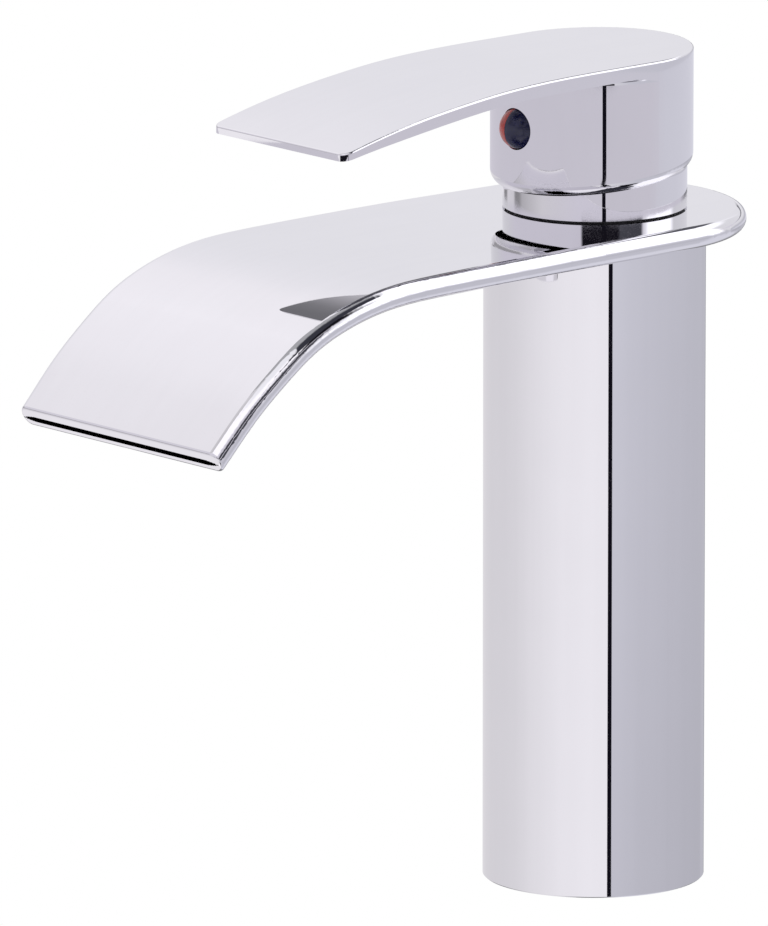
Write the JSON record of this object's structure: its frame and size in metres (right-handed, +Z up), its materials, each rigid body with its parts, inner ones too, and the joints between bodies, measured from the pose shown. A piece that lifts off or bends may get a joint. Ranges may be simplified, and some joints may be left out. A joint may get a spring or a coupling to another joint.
{
  "type": "waterfall basin faucet",
  "caption": "Deck-mounted single-lever basin mixer with a round column, a wide curved waterfall spout plate with a slot lip, and a flat paddle lever on a ceramic disc cartridge.",
  "frame": {"origin": "the round column's axis at the deck plane, under the column's foot", "axes": "+Z up, the spout and the lever point to -Y, +X is to the right of someone who stands in front of the spout"},
  "size_m": [0.0709, 0.1734, 0.1905],
  "materials": {
    "chrome": "polished",
    "rubber_black": "matte",
    "brass_raw": "satin",
    "cartridge_plastic": "matte",
    "carrier_plastic": "matte",
    "ceramic_disc": "polished",
    "steel": "satin",
    "plug_black": "gloss",
    "index_red": "gloss",
    "index_blue": "gloss"
  },
  "bodies": {
    "body": {"body_column": "chrome", "base_seal": "rubber_black", "base_insert": "brass_raw", "valve_body": "brass_raw", "spout_plate": "chrome", "spout_gasket_lower": "rubber_black", "spout_gasket_upper": "rubber_black", "collar": "chrome", "cartridge_nut": "brass_raw", "cartridge_base": "cartridge_plastic", "inlet_seals": "rubber_black", "disc_seals": "rubber_black", "fixed_disc": "ceramic_disc", "cartridge_housing": "cartridge_plastic"},
    "rotor": {"stem_carrier": "carrier_plastic", "carrier_seal": "rubber_black", "stem_pin": "steel"},
    "slider": {"disc_slider": "cartridge_plastic", "moving_disc": "ceramic_disc"},
    "lever": {"stem": "steel", "lever_handle": "chrome", "set_screw": "steel", "index_plug": "plug_black", "index_hot_mark": "index_red", "index_cold_mark": "index_blue"}
  },
  "joints": [
    {"name": "lever_swivel", "type": "hinge", "parent": "body", "child": "rotor", "pos_m": [0, 0, 0.158], "axis": [0, 0, 1], "range_deg": [-50, 50]},
    {"name": "lever_lift", "type": "hinge", "parent": "rotor", "child": "lever", "pos_m": [0, 0, 0.158], "axis": [-1, 0, 0], "range_deg": [0, 22]},
    {"name": "disc_travel", "type": "slide", "parent": "rotor", "child": "slider", "axis": [0, -1, 0], "range_m": [0, 0.0033]}
  ],
  "couplings": [
    {"joint": "disc_travel", "follows": "lever_lift", "m_per_rad": 0.0083}
  ]
}
